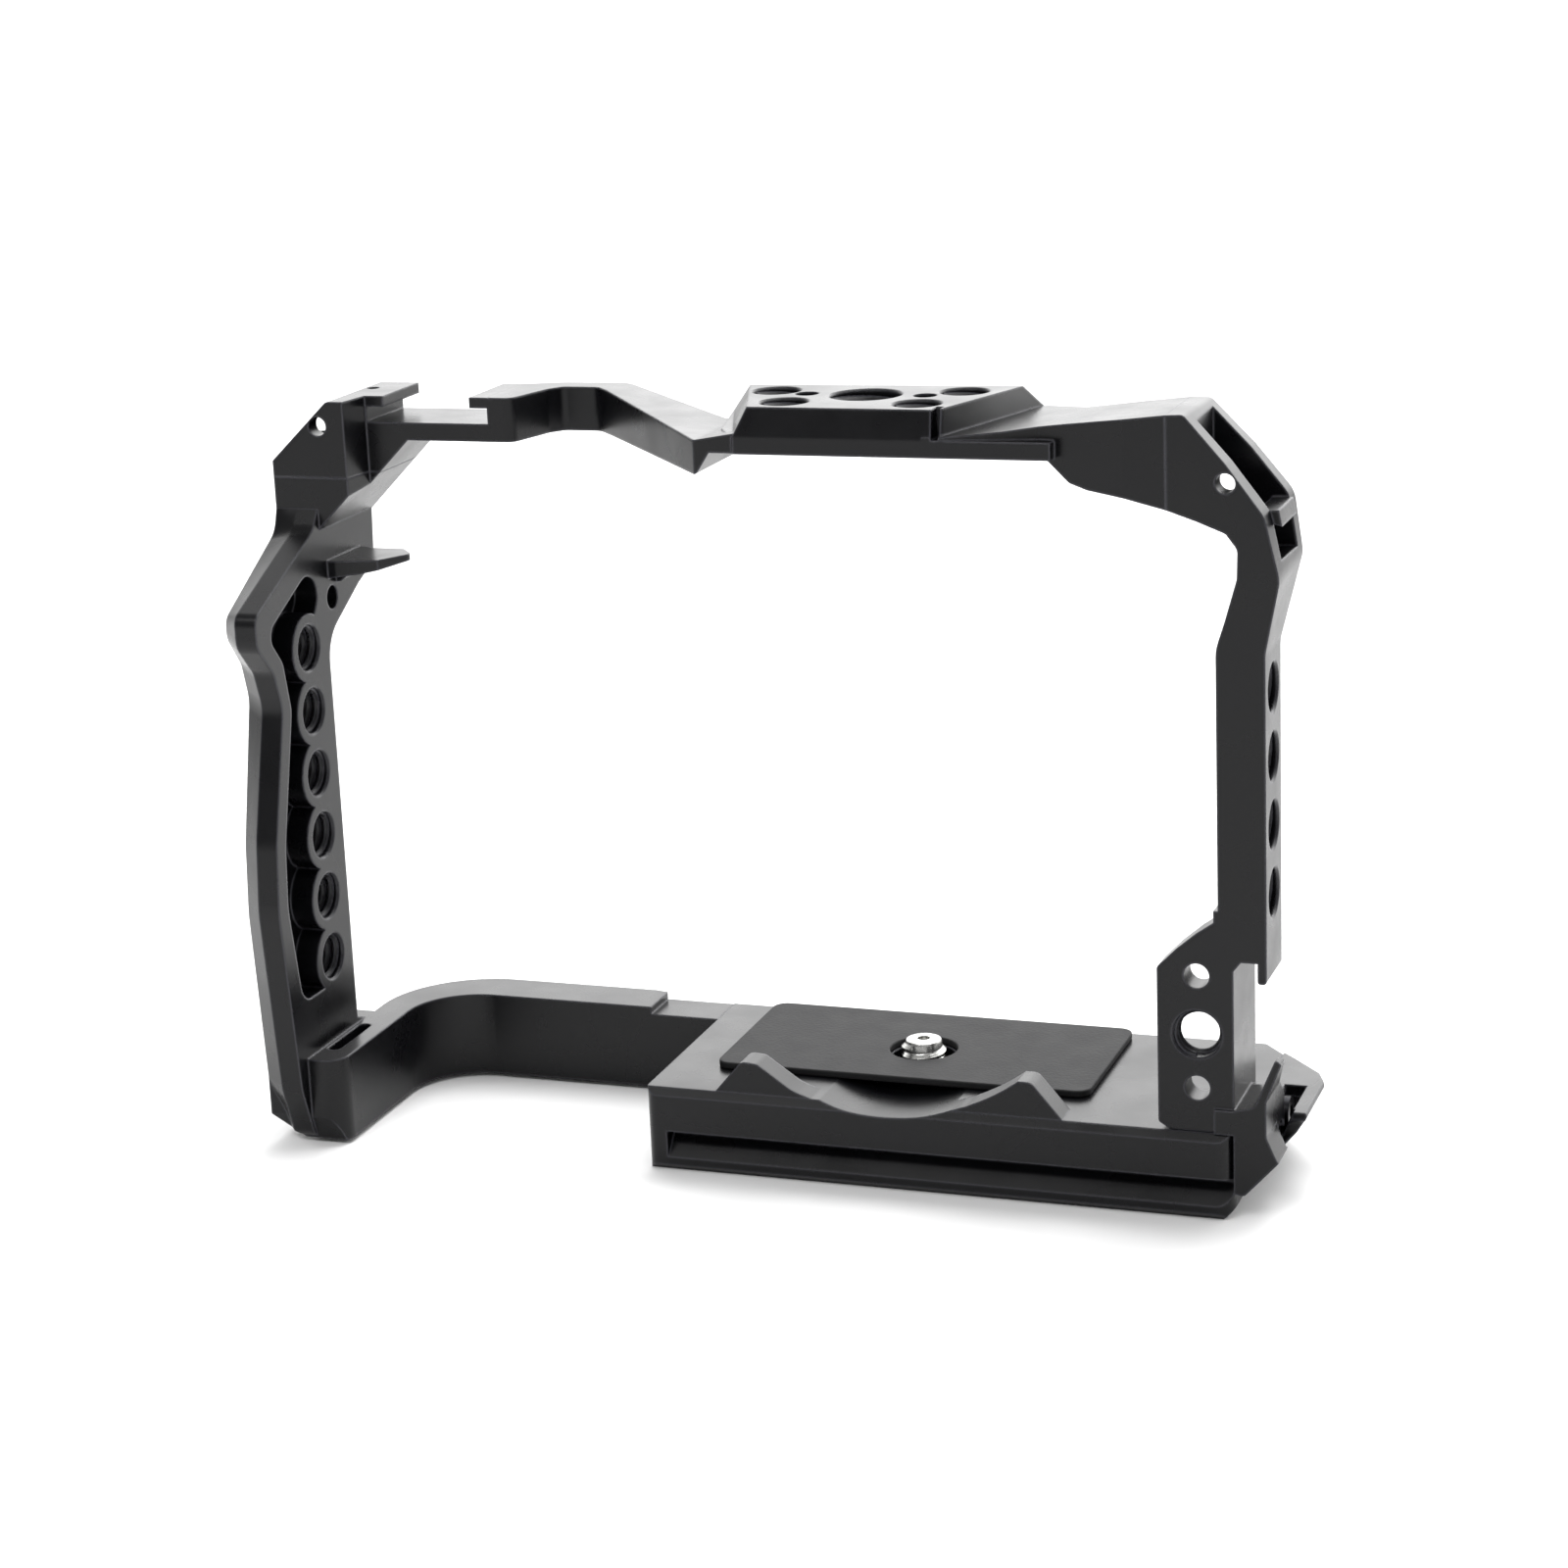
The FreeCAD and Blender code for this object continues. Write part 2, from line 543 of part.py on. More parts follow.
def port_foot():
    """The foot at the right end of the base plate: bevelled below, with a rim round its two screws and a clamp hook."""
    plan = up_prism([(base_right, foot_front_y), (54.9, foot_front_y, 1.2), (57.2, -16.0), (57.2, 0.1), (55.3, 4.9, 2.0),
                     (50.6, 10.3, 1.5), (base_right, 12.0)], 0, 30)
    section = back_prism([(base_right, 3.8), (50.4, 3.6, 0.8), (55.0, 8.6, 0.8), (56.9, 11.7, 0.5), (56.4, deck_z),
                          (base_right, deck_z)], -30, 20)
    front_relief = back_prism([(port_outer_x, 30), (port_outer_x, 12.0, 2.0), (54.9, 8.5), (60, 8.5), (60, 30)],
                              foot_front_y - 1, -14.0)
    rim_end = side_prism([(-15, 8.4), (-13.8, 8.4), (-10.6, deck_z), (-10.6, 14), (-15, 14)], 53.6, 60)
    front_gap = back_prism([(port_outer_x, 30), (port_outer_x, 9.0), (53.7, 9.0), (54.9, deck_z), (54.9, 30)],
                           -14.6, foot_wall_rear_y)
    rear_gap = back_prism([(51.6, 30), (51.6, 6.9), (52.6, 6.7), (54.7, deck_z), (54.9, 30)],
                          foot_wall_rear_y, foot_block_y)
    foot = cut_all(plan.common(section), [front_relief, rim_end, front_gap, rear_gap])
    hook = back_prism([(base_right, 8.0), (port_outer_x - 0.2, 8.0), (port_outer_x, 12.0), (port_outer_x, 17.0),
                       (55.4, 22.4, 0.3), (54.6, 23.0, 0.3), (53.0, 19.2), (51.8, 16.2, 0.8), (base_right, 15.4)],
                      foot_front_y, foot_wall_rear_y)
    slope = side_prism([(-9.0, 14.0), (-19.0, 22.6), (-19.0, 40), (-9.0, 40)], 40, 60)
    return [foot, hook.cut(slope)]


def port_side_arm():
    """Strap corner, upright, hole plate, cable clamp notch and foot on the side of the camera's ports."""
    front = port_outline((43.1, 107.4, 1.0), (48.4, 101.3), (53.4, 94.6, 4.0), (55.3, 86.5, 4.0))
    rear = port_outline((43.5, 107.3, 1.0), (49.3, 101.4), (54.3, 95.4, 4.0), (55.4, 87.4, 4.0))
    wires = [face_xz(front, cage_front_y).OuterWire, face_xz(rear, corner_rear_y).OuterWire]
    body = Part.makeLoft(wires, True, True)
    side_view = side_prism([(cage_front_y, 20), (port_rear_y, 20), (port_rear_y, 76.5, 4.0), (corner_rear_y, 87.5, 4.0),
                            (corner_rear_y, 112), (cage_front_y, 112)], 30, 70)
    arm = body.common(side_view)
    pocket_front = cage_front_y + corner_front_wall
    pocket_rear = corner_rear_y - corner_rear_wall
    pocket = back_prism([(right_seam_x + 3.4, 112), (right_seam_x + 3.4, 95.5), (50.2, 93.1, 1.5), (51.8, 90.6),
                         (52.2, 88.6), (60, 88.6), (60, 112)], pocket_front, pocket_rear)
    window = box(43.8, 47.6, pocket_rear - 1, corner_rear_y + 1, 95.0, 98.2)
    arm = arm.cut(pocket).cut(window)
    strap_bar = back_prism([(51.8, 94.9), (51.8, 93.7), (55.0, 92.9), (54.6, 95.0)], pocket_front, pocket_rear)
    arm = fuse_all([arm, strap_bar, hole_plate()] + port_foot())
    width = port_outer_x - port_inner_x
    holes = [tapped_hole(quarter_inch_hole_r, quarter_inch_mouth_r, V(port_inner_x, port_hole_y, z), V(1, 0, 0), width)
             for z in port_hole_zs]
    holes.append(tapped_hole(quarter_inch_hole_r, quarter_inch_mouth_r, V(plate_hole_x, cage_front_y, plate_hole_z),
                             V(0, 1, 0), plate_thick))
    pins = [Part.makeCylinder(1.7, plate_thick + 2, V(plate_hole_x, cage_front_y - 1, z), V(0, 1, 0))
            for z in plate_pin_zs]
    strap_hole = Part.makeCylinder(1.3, corner_front_wall + 3, V(48.4, cage_front_y - 2, 98.8), V(0, 1, 0))
    arm = cut_all(arm, holes + pins + [strap_hole])
    arm = cut_all(arm, screw_spaces(right_seam_screws()) + dowel_spaces(right_seam_dowels()))
    arm = cut_all(arm, screw_spaces(foot_screws()) + dowel_spaces(foot_dowels()))
    return arm.removeSplitter()


def base_pad():
    """The thin rubber sheet that the camera stands on."""
    points = [(pad_left, pad_front, 2.0), (pad_right, pad_front, 2.0), (pad_right, pad_rear, 2.0),
              (pad_left, pad_rear, 2.0)]
    sheet = up_prism(points, deck_z, deck_z + pad_thick)
    return sheet.cut(Part.makeCylinder(pad_hole_r, pad_thick + 2, V(0, 0, deck_z - 1)))


def camera_screw():
    """The captive quarter inch screw: slotted head below, thin neck in the web, thread above it."""
    thread_z = screw_recess_z + 0.1
    head = Part.makeCylinder(screw_head_r, screw_head_h, V(0, 0, screw_head_z))
    neck = Part.makeCylinder(screw_neck_r, thread_z - screw_head_z, V(0, 0, screw_head_z))
    thread = Part.makeCylinder(quarter_inch_major_r, screw_tip_z - thread_z - 0.6, V(0, 0, thread_z))
    tip = Part.makeCone(quarter_inch_major_r, quarter_inch_major_r - 0.6, 0.6, V(0, 0, screw_tip_z - 0.6))
    screw = fuse_all([head, neck, thread, tip])
    low_slot = box(-8, 8, -slot_w / 2, slot_w / 2, screw_head_z - 1, screw_head_z + slot_depth)
    tip_hole = Part.makeCylinder(0.9, 1.0, V(0, 0, screw_tip_z - 1.0))
    return screw.cut(low_slot).cut(tip_hole)


def screw_washer():
    """The thin washer that rides on the head of the camera screw."""
    z = screw_head_z + screw_head_h
    ring = Part.makeCylinder(screw_head_r - 0.4, washer_thick, V(0, 0, z))
    return ring.cut(Part.makeCylinder(screw_neck_r + running_gap, washer_thick + 2, V(0, 0, z - 1)))


def cap_screws(screws):
    return Part.makeCompound([cap_screw(start, direction, length) for start, direction, grip, length in screws])


def dowels(items):
    return Part.makeCompound([dowel(*item) for item in items])


pieces = {
    "base_plate": base_plate(),
    "grip_side_arm": grip_side_arm(),
    "top_bar": top_bar(),
    "port_side_arm": port_side_arm(),
    "base_pad": base_pad(),
    "camera_screw": camera_screw(),
    "screw_washer": screw_washer(),
    "rail_screws": cap_screws(rail_screws()),
    "rail_dowel": dowels(rail_dowels()),
    "foot_screws": cap_screws(foot_screws()),
    "foot_dowel": dowels(foot_dowels()),
    "left_seam_screws": cap_screws(left_seam_screws()),
    "left_seam_dowel": dowels(left_seam_dowels()),
    "right_seam_screws": cap_screws(right_seam_screws()),
    "right_seam_dowel": dowels(right_seam_dowels()),
}

for name, shape in pieces.items():
    shape.exportStep("parts/" + name + ".step")
    spread = shape.BoundBox
    print(name, len(shape.Solids), "solids", shape.isValid(), round(shape.Volume, 1),
          [round(v, 1) for v in (spread.XMin, spread.XMax, spread.YMin, spread.YMax, spread.ZMin, spread.ZMax)])
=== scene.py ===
import json
import math
import bpy
from mathutils import Matrix, Vector


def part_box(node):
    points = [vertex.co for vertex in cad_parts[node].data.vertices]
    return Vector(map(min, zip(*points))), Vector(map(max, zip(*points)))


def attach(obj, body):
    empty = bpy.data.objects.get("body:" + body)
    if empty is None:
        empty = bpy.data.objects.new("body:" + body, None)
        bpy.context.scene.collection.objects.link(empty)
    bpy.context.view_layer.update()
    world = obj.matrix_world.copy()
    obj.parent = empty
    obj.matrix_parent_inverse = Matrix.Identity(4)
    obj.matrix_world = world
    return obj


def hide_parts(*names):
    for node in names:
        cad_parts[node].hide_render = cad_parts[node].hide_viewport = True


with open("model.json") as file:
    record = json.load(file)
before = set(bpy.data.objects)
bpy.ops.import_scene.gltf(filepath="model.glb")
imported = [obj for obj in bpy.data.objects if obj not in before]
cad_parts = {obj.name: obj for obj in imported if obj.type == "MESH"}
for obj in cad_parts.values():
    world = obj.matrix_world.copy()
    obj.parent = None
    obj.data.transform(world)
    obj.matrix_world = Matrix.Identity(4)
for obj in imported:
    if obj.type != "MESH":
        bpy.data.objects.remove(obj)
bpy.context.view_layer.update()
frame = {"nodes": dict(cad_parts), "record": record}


# Cage body: base plate, grip side arm, top bar and port side arm, screwed and dowelled together.
# Milled aluminium, bead blasted and anodised black. Faces that look at the camera are a deep satin
# black, faces at a low angle to the eye are light grey, and the corners are softly broken and painted
# lighter, partly as wear and partly as a painted highlight.

def linear(hex_code):
    """An sRGB hex colour as the linear colour that a shader takes."""
    channels = [int(hex_code[i:i + 2], 16) / 255 for i in (1, 3, 5)]
    return tuple(c / 12.92 if c <= 0.04045 else ((c + 0.055) / 1.055) ** 2.4 for c in channels) + (1.0,)


def add_node(tree, kind, settings=None, links=None):
    """Adds one node with its socket values, properties and colour stops, and links outputs to it."""
    node = tree.nodes.new(kind)
    for name, value in (settings or {}).items():
        if name == "color_ramp":
            for stop, (position, hex_code) in zip(node.color_ramp.elements, value):
                stop.position = position
                stop.color = linear(hex_code)
        elif name in node.inputs:
            node.inputs[name].default_value = value
        else:
            setattr(node, name, value)
    for name, source in (links or {}).items():
        tree.links.new(source, node.inputs[name])
    return node


def new_material(name):
    """A material with an empty node tree."""
    material = bpy.data.materials.new(name)
    material.use_nodes = True
    material.node_tree.nodes.clear()
    return material, material.node_tree


def anodised_aluminium(name, face_hex, cloud_hex, wear_and_highlight_hex):
    """Black anodising over a bead blast: an even satin sheen in faint clouds, lighter on corners,
    partly from wear and partly as a painted highlight.

    A real blast is finer, and is drawn with grains of 0.25 mm so that it shows.
    """
    blast_grains_per_metre = 4000.0
    clouds_per_metre = 110.0  # 9 mm each
    corner_radius = 0.0005
    flat_lean = 0.18  # a rounded normal that leans this far or less counts as on a flat face
    corner_lean = 0.6  # and one that leans this far or more counts as on a corner
    material, tree = new_material(name)
    place = add_node(tree, "ShaderNodeTexCoord")
    grain = add_node(tree, "ShaderNodeTexNoise",
                     {"Scale": blast_grains_per_metre, "Detail": 2.0, "Roughness": 0.6},
                     {"Vector": place.outputs["Object"]})
    cloud = add_node(tree, "ShaderNodeTexNoise",
                     {"Scale": clouds_per_metre, "Detail": 3.0, "Roughness": 0.55},
                     {"Vector": place.outputs["Object"]})
    corner = add_node(tree, "ShaderNodeBevel", {"samples": 4, "Radius": corner_radius})
    surface = add_node(tree, "ShaderNodeNewGeometry")
    lean = add_node(tree, "ShaderNodeVectorMath", {"operation": "DISTANCE"},
                    {0: corner.outputs["Normal"], 1: surface.outputs["True Normal"]})
    # Corners are mixed towards a lighter grey where the rounded normal leans: partly wear, partly a
    # painted highlight on the broken edge.
    corner_wear_and_highlight = add_node(tree, "ShaderNodeMapRange", {"From Min": flat_lean, "From Max": corner_lean},
                    {"Value": lean.outputs["Value"]})
    face = add_node(tree, "ShaderNodeValToRGB", {"color_ramp": ((0.35, face_hex), (0.75, cloud_hex))},
                    {"Fac": cloud.outputs["Fac"]})
    colour = add_node(tree, "ShaderNodeMix", {"data_type": "RGBA", "B": linear(wear_and_highlight_hex)},
                      {"Factor": corner_wear_and_highlight.outputs["Result"], "A": face.outputs["Color"]})
    rough = add_node(tree, "ShaderNodeMapRange",
                     {"From Min": 0.3, "From Max": 0.7, "To Min": 0.24, "To Max": 0.33},
                     {"Value": cloud.outputs["Fac"]})
    bump = add_node(tree, "ShaderNodeBump", {"Strength": 0.1, "Distance": 0.00003},
                    {"Height": grain.outputs["Fac"], "Normal": corner.outputs["Normal"]})
    shader = add_node(tree, "ShaderNodeBsdfPrincipled", {"IOR": 1.5, "Specular IOR Level": 0.24},
                      {"Base Color": colour.outputs["Result"], "Roughness": rough.outputs["Result"],
                       "Normal": bump.outputs["Normal"]})
    add_node(tree, "ShaderNodeOutputMaterial", links={"Surface": shader.outputs["BSDF"]})
    return material


def dress(piece, material):
    """Gives a piece this one material."""
    piece.data.materials.clear()
    piece.data.materials.append(material)


black_anodised = anodised_aluminium("black_anodised_aluminium", "#070709", "#0C0C0F", "#4C4C52")
for node_name in ("base_plate", "grip_side_arm", "top_bar", "port_side_arm"):
    dress(frame["nodes"][node_name], black_anodised)


# Threads of the accessory holes: fifteen quarter inch holes with 20 turns to the inch, and one
# three eighths inch hole with 16. They are cut after the milling and anodised with the body.

one_micron = 0.000001


def clear_selection():
    """Deselects every object, because an operator acts on all that is selected."""
    bpy.ops.object.select_all(action="DESELECT")


def pick(piece):
    """Makes this piece the only one that is selected, and the active one."""
    clear_selection()
    piece.select_set(True)
    bpy.context.view_layer.objects.active = piece


def apply_modifier(piece, modifier):
    """Makes a modifier's result the piece's own mesh."""
    bpy.context.view_layer.objects.active = piece
    bpy.ops.object.modifier_apply(modifier=modifier.name)


def face_outwards(piece):
    """Merges doubled points and turns every face of a closed mesh outwards."""
    pick(piece)
    bpy.ops.object.mode_set(mode="EDIT")
    bpy.ops.mesh.select_all(action="SELECT")
    bpy.ops.mesh.remove_doubles(threshold=one_micron)
    bpy.ops.mesh.normals_make_consistent(inside=False)
    bpy.ops.object.mode_set(mode="OBJECT")


def thread_ridge(name, root_r, crest_r, pitch, low, high, steps_per_turn=28):
    """The ridge of a right-handed thread round Z, as a closed strip with a sharp crest.

    Its crest lies inside its root in a hole, and outside it on a screw.
    """
    width = pitch * 0.86  # which leaves a narrow flat between the turns
    height = abs(crest_r - root_r)
    in_hole = crest_r < root_r
    middle = root_r - height / 3 if in_hole else root_r + height / 3
    tilt = math.pi / 2 if in_hole else -math.pi / 2
    turns = (high - low - width) / pitch
    clear_selection()
    bpy.ops.mesh.primitive_circle_add(vertices=3, radius=1.0, fill_type="NOTHING",
                                      location=(middle, 0, low + width / 2),
                                      rotation=(tilt, -math.pi / 2, 0))
    ridge = bpy.context.object
    ridge.name = name
    # A triangle in a circle of radius 1 is sqrt(3) wide and 1.5 high before it is scaled.
    ridge.scale = (width / math.sqrt(3), height / 1.5, 1.0)
    bpy.ops.object.transform_apply(location=True, rotation=True, scale=True)
    winding = ridge.modifiers.new("winding", "SCREW")
    winding.axis = "Z"
    winding.angle = 2 * math.pi * turns
    winding.screw_offset = pitch * turns
    winding.steps = winding.render_steps = max(3, round(steps_per_turn * turns))
    winding.use_merge_vertices = False
    winding.use_smooth_shade = False
    apply_modifier(ridge, winding)
    pick(ridge)
    bpy.ops.object.mode_set(mode="EDIT")
    bpy.ops.mesh.select_all(action="SELECT")
    bpy.ops.mesh.fill_holes(sides=4)
    bpy.ops.object.mode_set(mode="OBJECT")
    face_outwards(ridge)
    bpy.ops.object.shade_smooth_by_angle(angle=math.radians(25))
    return ridge


def set_in_place(piece, place, direction):
    """Turns a mesh so that its Z runs along the direction, then moves its zero point to the place."""
    turn = Vector((0, 0, 1)).rotation_difference(Vector(direction)).to_matrix().to_4x4()
    piece.data.transform(Matrix.Translation(place) @ turn)
    piece.data.update()


def finish_piece(piece, material, body, slot, *nodes):
    """Gives a new piece its finish and the body it moves with, and hides the CAD nodes it stands for.
    """
    dress(piece, material)
    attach(piece, body)
    if nodes:
        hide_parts(*nodes)


quarter_inch = {"hole_r": 0.0032, "pitch": 0.00127}
three_eighths = {"hole_r": 0.00476, "pitch": 0.0015875}
ridge_height = 0.42  # of the pitch, measured inwards from the hole's wall
root_depth = 0.00003  # a ridge's root lies this far inside the metal, so that no gap shows
end_gap = 0.0001  # between a ridge's end and the mouth of its hole
for mount in frame["record"]["mounts"]:
    if mount["kind"] != "threaded_hole":
        continue
    size = three_eighths if mount["name"] == "top_centre_thread" else quarter_inch
    half_length = mount["dims"]["length_mm"] / 1000 / 2
    ridge = thread_ridge(mount["name"] + "_ridge",
                         root_r=size["hole_r"] + root_depth,
                         crest_r=size["hole_r"] - size["pitch"] * ridge_height,
                         pitch=size["pitch"], low=-half_length + end_gap, high=half_length - end_gap)
    set_in_place(ridge, mount["pos_m"], mount["axis"])
    finish_piece(ridge, black_anodised, "cage", "black_aluminium")


# Base pad: a sheet of dark rubber, 1 mm thick, glued to the deck so that the camera neither
# scratches nor turns. Its plan corners are rounded and its cut edge is square and slightly soft.

def sheet_rubber(name, dark_hex, light_hex):
    """Moulded sheet rubber: matt, with a leathery grain of 0.5 mm that shows best at low angles."""
    grains_per_metre = 2000.0
    dust_spots_per_metre = 260.0  # 4 mm each
    corner_radius = 0.00025
    material, tree = new_material(name)
    place = add_node(tree, "ShaderNodeTexCoord")
    grain = add_node(tree, "ShaderNodeTexVoronoi", {"Scale": grains_per_metre, "Randomness": 1.0},
                     {"Vector": place.outputs["Object"]})
    dust = add_node(tree, "ShaderNodeTexNoise", {"Scale": dust_spots_per_metre, "Detail": 4.0},
                    {"Vector": place.outputs["Object"]})
    colour = add_node(tree, "ShaderNodeValToRGB", {"color_ramp": ((0.3, dark_hex), (0.8, light_hex))},
                      {"Fac": dust.outputs["Fac"]})
    rough = add_node(tree, "ShaderNodeMapRange",
                     {"From Min": 0.3, "From Max": 0.7, "To Min": 0.68, "To Max": 0.73},
                     {"Value": dust.outputs["Fac"]})
    corner = add_node(tree, "ShaderNodeBevel", {"samples": 6, "Radius": corner_radius})
    bump = add_node(tree, "ShaderNodeBump", {"Strength": 0.35, "Distance": 0.00006},
                    {"Height": grain.outputs["Distance"], "Normal": corner.outputs["Normal"]})
    shader = add_node(tree, "ShaderNodeBsdfPrincipled", {"IOR": 1.4},
                      {"Base Color": colour.outputs["Color"], "Roughness": rough.outputs["Result"],
                       "Normal": bump.outputs["Normal"]})
    add_node(tree, "ShaderNodeOutputMaterial", links={"Surface": shader.outputs["BSDF"]})
    return material


def bevel_edges(piece, is_chosen, width, segments):
    """Bevels the edges whose two end points pass a test."""
    pick(piece)
    bpy.ops.object.mode_set(mode="EDIT")
    bpy.ops.mesh.select_mode(type="EDGE")
    bpy.ops.mesh.select_all(action="DESELECT")
    bpy.ops.object.mode_set(mode="OBJECT")
    for edge in piece.data.edges:
        edge.select = is_chosen(*[piece.data.vertices[i].co for i in edge.vertices])
    bpy.ops.object.mode_set(mode="EDIT")
    bpy.ops.mesh.bevel(offset=width, segments=segments, affect="EDGES")
    bpy.ops.object.mode_set(mode="OBJECT")


def is_upright(first, second):
    """Whether an edge runs straight up."""
    return abs(first.x - second.x) < one_micron and abs(first.y - second.y) < one_micron


def cut_with(piece, tool):
    """Cuts the tool's shape out of the piece and removes the tool."""
    face_outwards(piece)
    clear_selection()
    cut = piece.modifiers.new("cut", "BOOLEAN")
    cut.operation = "DIFFERENCE"
    cut.solver = "EXACT"
    cut.object = tool
    apply_modifier(piece, cut)
    bpy.data.objects.remove(tool, do_unlink=True)


pad_corner_radius = 0.002
pad_edge_radius = 0.0002
pad_hole_radius = 0.0048
pad_drill_length = 0.004  # half of it lies below the pad's top, which is right through
pad_low, pad_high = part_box("base_pad")
clear_selection()
bpy.ops.mesh.primitive_cube_add(size=1.0, location=(pad_low + pad_high) / 2, scale=pad_high - pad_low)
pad = bpy.context.object
pad.name = "base_pad_rubber"
bpy.ops.object.transform_apply(location=True, rotation=True, scale=True)
bevel_edges(pad, is_upright, width=pad_corner_radius, segments=8)
clear_selection()
bpy.ops.mesh.primitive_cylinder_add(vertices=64, radius=pad_hole_radius, depth=pad_drill_length,
                                    location=(0, 0, pad_high.z))
cut_with(pad, bpy.context.object)
softening = pad.modifiers.new("edge", "BEVEL")
softening.width = pad_edge_radius
softening.segments = 2
softening.limit_method = "ANGLE"
softening.angle_limit = math.radians(35)
apply_modifier(pad, softening)
face_outwards(pad)
bpy.ops.object.shade_smooth_by_angle(angle=math.radians(20))
black_rubber = sheet_rubber("black_sheet_rubber", "#141415", "#18181A")
finish_piece(pad, black_rubber, "cage", "rubber_pad", "base_pad")


# Captive camera screw: turned from stainless steel, with a coin slot in its head, a thin neck that
# keeps it in the base, a quarter inch thread and a centre hole in its bright, chamfered end.

def turned_steel(name, dark_hex, light_hex, roughness):
    """Turned stainless steel: a bright metal with fine lathe rings round Z and faint stains.

    Real tool marks are finer, and are drawn 0.3 mm apart so that they show.
    """
    ring_scale = 1050.0  # a Wave texture draws scale x 20 / (2 pi) rings to the metre
    stains_per_metre = 500.0  # 2 mm each
    corner_radius = 0.00015
    material, tree = new_material(name)
    place = add_node(tree, "ShaderNodeTexCoord")
    rings = add_node(tree, "ShaderNodeTexWave",
                     {"wave_type": "RINGS", "rings_direction": "Z", "Scale": ring_scale,
                      "Distortion": 0.6, "Detail": 1.0},
                     {"Vector": place.outputs["Object"]})
    stain = add_node(tree, "ShaderNodeTexNoise", {"Scale": stains_per_metre, "Detail": 3.0},
                     {"Vector": place.outputs["Object"]})
    colour = add_node(tree, "ShaderNodeValToRGB", {"color_ramp": ((0.3, dark_hex), (0.7, light_hex))},
                      {"Fac": stain.outputs["Fac"]})
    rough = add_node(tree, "ShaderNodeMapRange", {"To Min": roughness, "To Max": roughness + 0.1},
                     {"Value": rings.outputs["Fac"]})
    corner = add_node(tree, "ShaderNodeBevel", {"samples": 6, "Radius": corner_radius})
    bump = add_node(tree, "ShaderNodeBump", {"Strength": 0.15, "Distance": 0.00002},
                    {"Height": rings.outputs["Fac"], "Normal": corner.outputs["Normal"]})
    shader = add_node(tree, "ShaderNodeBsdfPrincipled", {"Metallic": 1.0},
                      {"Base Color": colour.outputs["Color"], "Roughness": rough.outputs["Result"],
                       "Normal": bump.outputs["Normal"]})
    add_node(tree, "ShaderNodeOutputMaterial", links={"Surface": shader.outputs["BSDF"]})
    return material


def turned(name, radius, low, high, sides=64):
    """A cylinder round Z, from one height to another."""
    clear_selection()
    bpy.ops.mesh.primitive_cylinder_add(vertices=sides, radius=radius, depth=high - low,
                                        location=(0, 0, (low + high) / 2))
    bpy.ops.object.transform_apply(location=True, rotation=True, scale=True)
    bpy.context.object.name = name
    return bpy.context.object


def bevel_rim(piece, radius, height, width, segments=2):
    """Bevels the round edge that lies at one radius and height."""
    radius_slack = 0.00002

    def on_rim(*ends):
        return all(abs(end.z - height) < one_micron and abs(end.xy.length - radius) < radius_slack
                   for end in ends)

    bevel_edges(piece, on_rim, width, segments)


def join_pieces(name, pieces):
    """Joins several pieces into one object, each still a closed shape of its own."""
    clear_selection()
    for piece in pieces:
        piece.select_set(True)
    bpy.context.view_layer.objects.active = pieces[0]
    bpy.ops.object.join()
    pieces[0].name = name
    return pieces[0]


head_low = 0.0004
neck_low = 0.0029
thread_low = 0.0096
screw_end = 0.0145
head_radius = 0.0064
neck_radius = 0.00245
core_radius = 0.0026
crest_radius = 0.00316
lead_in = 0.0004  # from the end of the screw to the start of its thread
coin_slot_box = (0.016, 0.0013, 0.0024)  # half of its height lies below the head
centre_hole_radius = 0.0009
centre_hole_depth = 0.001
overshoot = 0.001  # a cutting tool starts this far outside the metal
screw_head = turned("screw_head", head_radius, head_low, neck_low)
bevel_rim(screw_head, head_radius, neck_low, width=0.0003)
bevel_rim(screw_head, head_radius, head_low, width=0.0005)
clear_selection()
bpy.ops.mesh.primitive_cube_add(size=1.0, location=(0, 0, head_low), scale=coin_slot_box)
cut_with(screw_head, bpy.context.object)
screw_neck = turned("screw_neck", neck_radius, neck_low, thread_low, sides=48)
screw_core = turned("screw_core", core_radius, thread_low, screw_end, sides=48)
bevel_rim(screw_core, core_radius, screw_end, width=0.0005)
cut_with(screw_core, turned("centre_drill", centre_hole_radius, screw_end - centre_hole_depth,
                            screw_end + overshoot, sides=24))
screw_thread = thread_ridge("screw_thread", core_radius - root_depth, crest_radius,
                            quarter_inch["pitch"], thread_low, screw_end - lead_in, steps_per_turn=36)
screw = join_pieces("captive_camera_screw", [screw_head, screw_neck, screw_core, screw_thread])
pick(screw)
bpy.ops.object.shade_smooth_by_angle(angle=math.radians(30))
bright_steel = turned_steel("turned_stainless_steel", "#B9B9B6", "#D8D8D5", roughness=0.16)
finish_piece(screw, bright_steel, "camera_screw", "bright_steel", "camera_screw")


# Screw washer: a ring punched from black nylon sheet. It lies loose between the head of the camera
# screw and the base, so that the head turns without marking the anodising.

